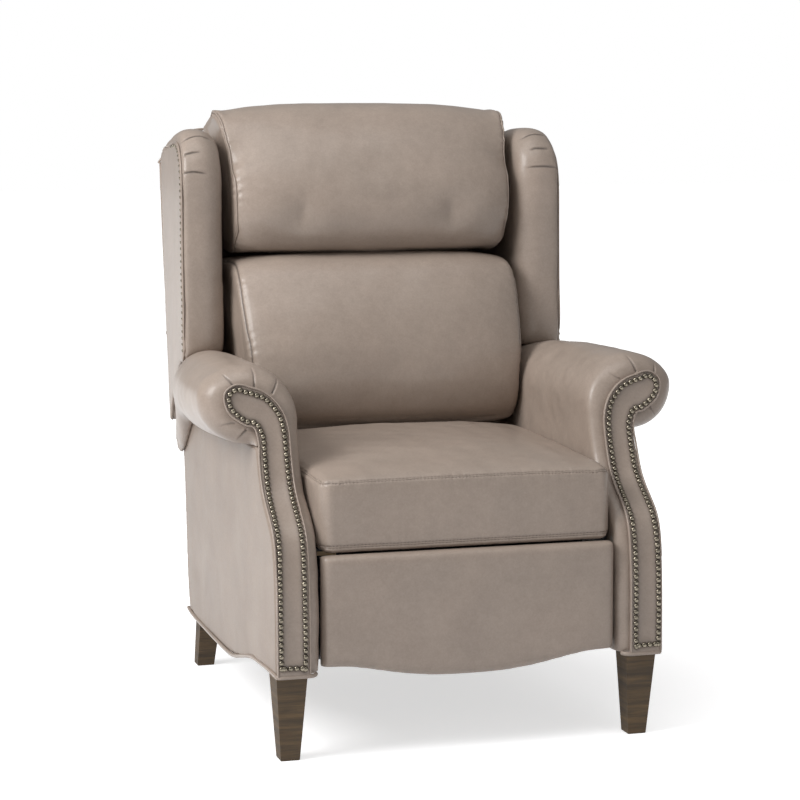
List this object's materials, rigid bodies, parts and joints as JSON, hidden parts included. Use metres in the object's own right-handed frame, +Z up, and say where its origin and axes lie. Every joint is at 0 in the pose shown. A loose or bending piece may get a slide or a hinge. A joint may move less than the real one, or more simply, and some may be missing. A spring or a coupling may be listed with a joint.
{
  "type": "wingback recliner",
  "caption": "Leather wingback recliner with scroll arms, a head pillow over a lumbar cushion, tapered legs, a reclining back and a scissor footrest.",
  "frame": {"origin": "on the floor below the centre of the chair's bounding box", "axes": "+X to the sitter's left, -Y the way the sitter faces, +Z up"},
  "size_m": [0.864, 0.9559, 1.099],
  "materials": {
    "leather": "smooth, softly mottled taupe",
    "leg_wood": "dark grey-brown stain with a fine grain",
    "frame_wood": "raw",
    "mechanism_steel": "black satin",
    "deck_cloth": "black woven"
  },
  "bodies": {
    "base": {"leg_front_left": "leg_wood", "leg_front_right": "leg_wood", "leg_rear_left": "leg_wood", "leg_rear_right": "leg_wood", "arm_frame_left": "frame_wood", "arm_frame_right": "frame_wood", "arm_outer_panel_left": "leather", "arm_outer_panel_right": "leather", "arm_padding_left": "leather", "arm_padding_right": "leather", "arm_facing_left": "leather", "arm_facing_right": "leather", "base_rail_left": "frame_wood", "base_rail_right": "frame_wood", "slide_plate_left": "mechanism_steel", "slide_plate_right": "mechanism_steel", "front_stretcher": "frame_wood", "rear_rail": "frame_wood", "rear_base_panel": "leather"},
    "seat": {"seat_plate_left": "mechanism_steel", "seat_plate_right": "mechanism_steel", "seat_front_rail": "frame_wood", "seat_rear_rail": "frame_wood", "seat_spring_1": "mechanism_steel", "seat_spring_2": "mechanism_steel", "seat_spring_3": "mechanism_steel", "seat_spring_4": "mechanism_steel", "seat_deck_pad": "deck_cloth", "seat_cushion": "leather"},
    "back": {"back_outer_panel": "leather", "back_post_left": "frame_wood", "back_post_right": "frame_wood", "back_middle_rail": "frame_wood", "back_bottom_rail": "frame_wood", "back_top_cap": "leather", "back_liner": "leather", "back_webbing_1": "deck_cloth", "back_webbing_2": "deck_cloth", "back_bracket_left": "mechanism_steel", "back_bracket_right": "mechanism_steel", "lumbar_cushion": "leather", "head_pillow": "leather", "wing_padding_left": "leather", "wing_padding_right": "leather", "wing_outer_panel_left": "leather", "wing_outer_panel_right": "leather"},
    "rear_outer_links": {"link_rear_outer_left": "mechanism_steel", "link_rear_outer_right": "mechanism_steel", "footrest_torque_tube": "mechanism_steel"},
    "rear_inner_links": {"link_rear_inner_left": "mechanism_steel", "link_rear_inner_right": "mechanism_steel"},
    "front_inner_links": {"link_front_inner_left": "mechanism_steel", "link_front_inner_right": "mechanism_steel"},
    "front_outer_links": {"link_front_outer_left": "mechanism_steel", "link_front_outer_right": "mechanism_steel"},
    "footrest": {"footrest_pad": "leather", "footrest_board": "frame_wood", "footrest_bracket_left": "mechanism_steel", "footrest_bracket_right": "mechanism_steel"}
  },
  "joints": [
    {"name": "seat_slide", "type": "slide", "parent": "base", "child": "seat", "axis": [0, -1, 0], "range_m": [0, 0.016]},
    {"name": "back_recline", "type": "hinge", "parent": "seat", "child": "back", "pos_m": [0, 0.256, 0.385], "axis": [-1, 0, 0], "range_deg": [0, 30]},
    {"name": "footrest_extend", "type": "hinge", "parent": "seat", "child": "rear_outer_links", "pos_m": [0, -0.3319, 0.31826], "axis": [-1, 0, 0], "range_deg": [0, 58]},
    {"name": "rear_scissor", "type": "hinge", "parent": "rear_outer_links", "child": "rear_inner_links", "pos_m": [0, -0.35585, 0.24456], "axis": [1, 0, 0], "range_deg": [0, 116]},
    {"name": "middle_scissor", "type": "hinge", "parent": "rear_outer_links", "child": "front_inner_links", "pos_m": [0, -0.3798, 0.17085], "axis": [1, 0, 0], "range_deg": [0, 116]},
    {"name": "front_scissor", "type": "hinge", "parent": "front_inner_links", "child": "front_outer_links", "pos_m": [0, -0.3879, 0.24793], "axis": [-1, 0, 0], "range_deg": [0, 116]},
    {"name": "footrest_turn", "type": "hinge", "parent": "front_inner_links", "child": "footrest", "pos_m": [0, -0.396, 0.325], "axis": [-1, 0, 0], "range_deg": [0, 156]}
  ],
  "couplings": [
    {"joint": "seat_slide", "follows": "back_recline", "m_per_rad": 0.03055},
    {"joint": "rear_scissor", "follows": "footrest_extend", "ratio": 2},
    {"joint": "middle_scissor", "follows": "footrest_extend", "ratio": 2},
    {"joint": "front_scissor", "follows": "footrest_extend", "ratio": 2},
    {"joint": "footrest_turn", "follows": "footrest_extend", "ratio": 2.6896}
  ]
}
